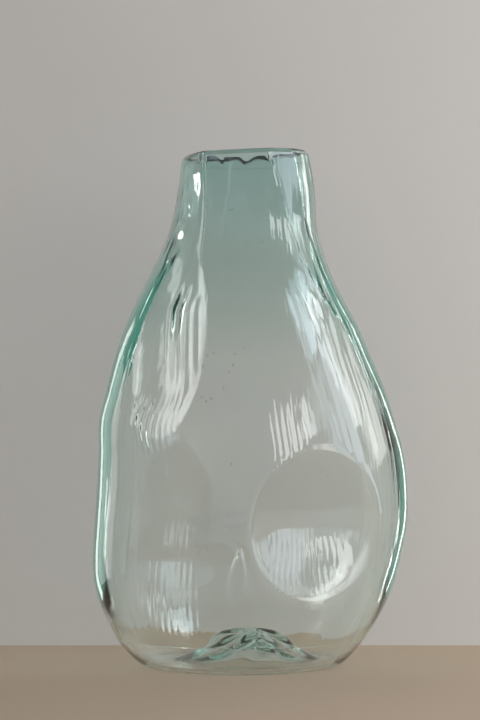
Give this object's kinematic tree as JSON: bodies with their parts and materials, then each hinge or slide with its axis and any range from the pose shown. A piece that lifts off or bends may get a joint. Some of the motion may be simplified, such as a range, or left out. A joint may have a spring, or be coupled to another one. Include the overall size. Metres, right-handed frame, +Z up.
{
  "type": "glass vase",
  "caption": "Tall pear-shaped hand blown glass vase with pressed-in dents, a seven-sided twisting neck, a sheared and fire-polished lip and a pushed-up base, for flowers or display.",
  "frame": {"origin": "on the surface that the vase stands on, under the middle of its overall width and depth", "axes": "+Z up through the mouth, -Y towards the front with the large round dent, +X to the right as seen from the front"},
  "size_m": [0.2451, 0.2257, 0.4],
  "materials": {
    "green_glass": "clear pale sea-green blown glass, smooth and slightly wavy, with fine draw lines and a few seeds",
    "lip_glass": "clear pale sea-green glass, sheared at a slope and fire-polished, so its far edge looks like a dark line",
    "base_glass": "clear pale sea-green glass, pushed up in the middle and darker where it is seen edge-on",
    "pontil_glass": "clear glass with a broken, slightly frosted surface"
  },
  "bodies": {
    "root": {"blown_wall": "green_glass", "fire_polished_lip": "lip_glass", "push_up_base": "base_glass", "pontil_mark": "pontil_glass"}
  },
  "joints": []
}
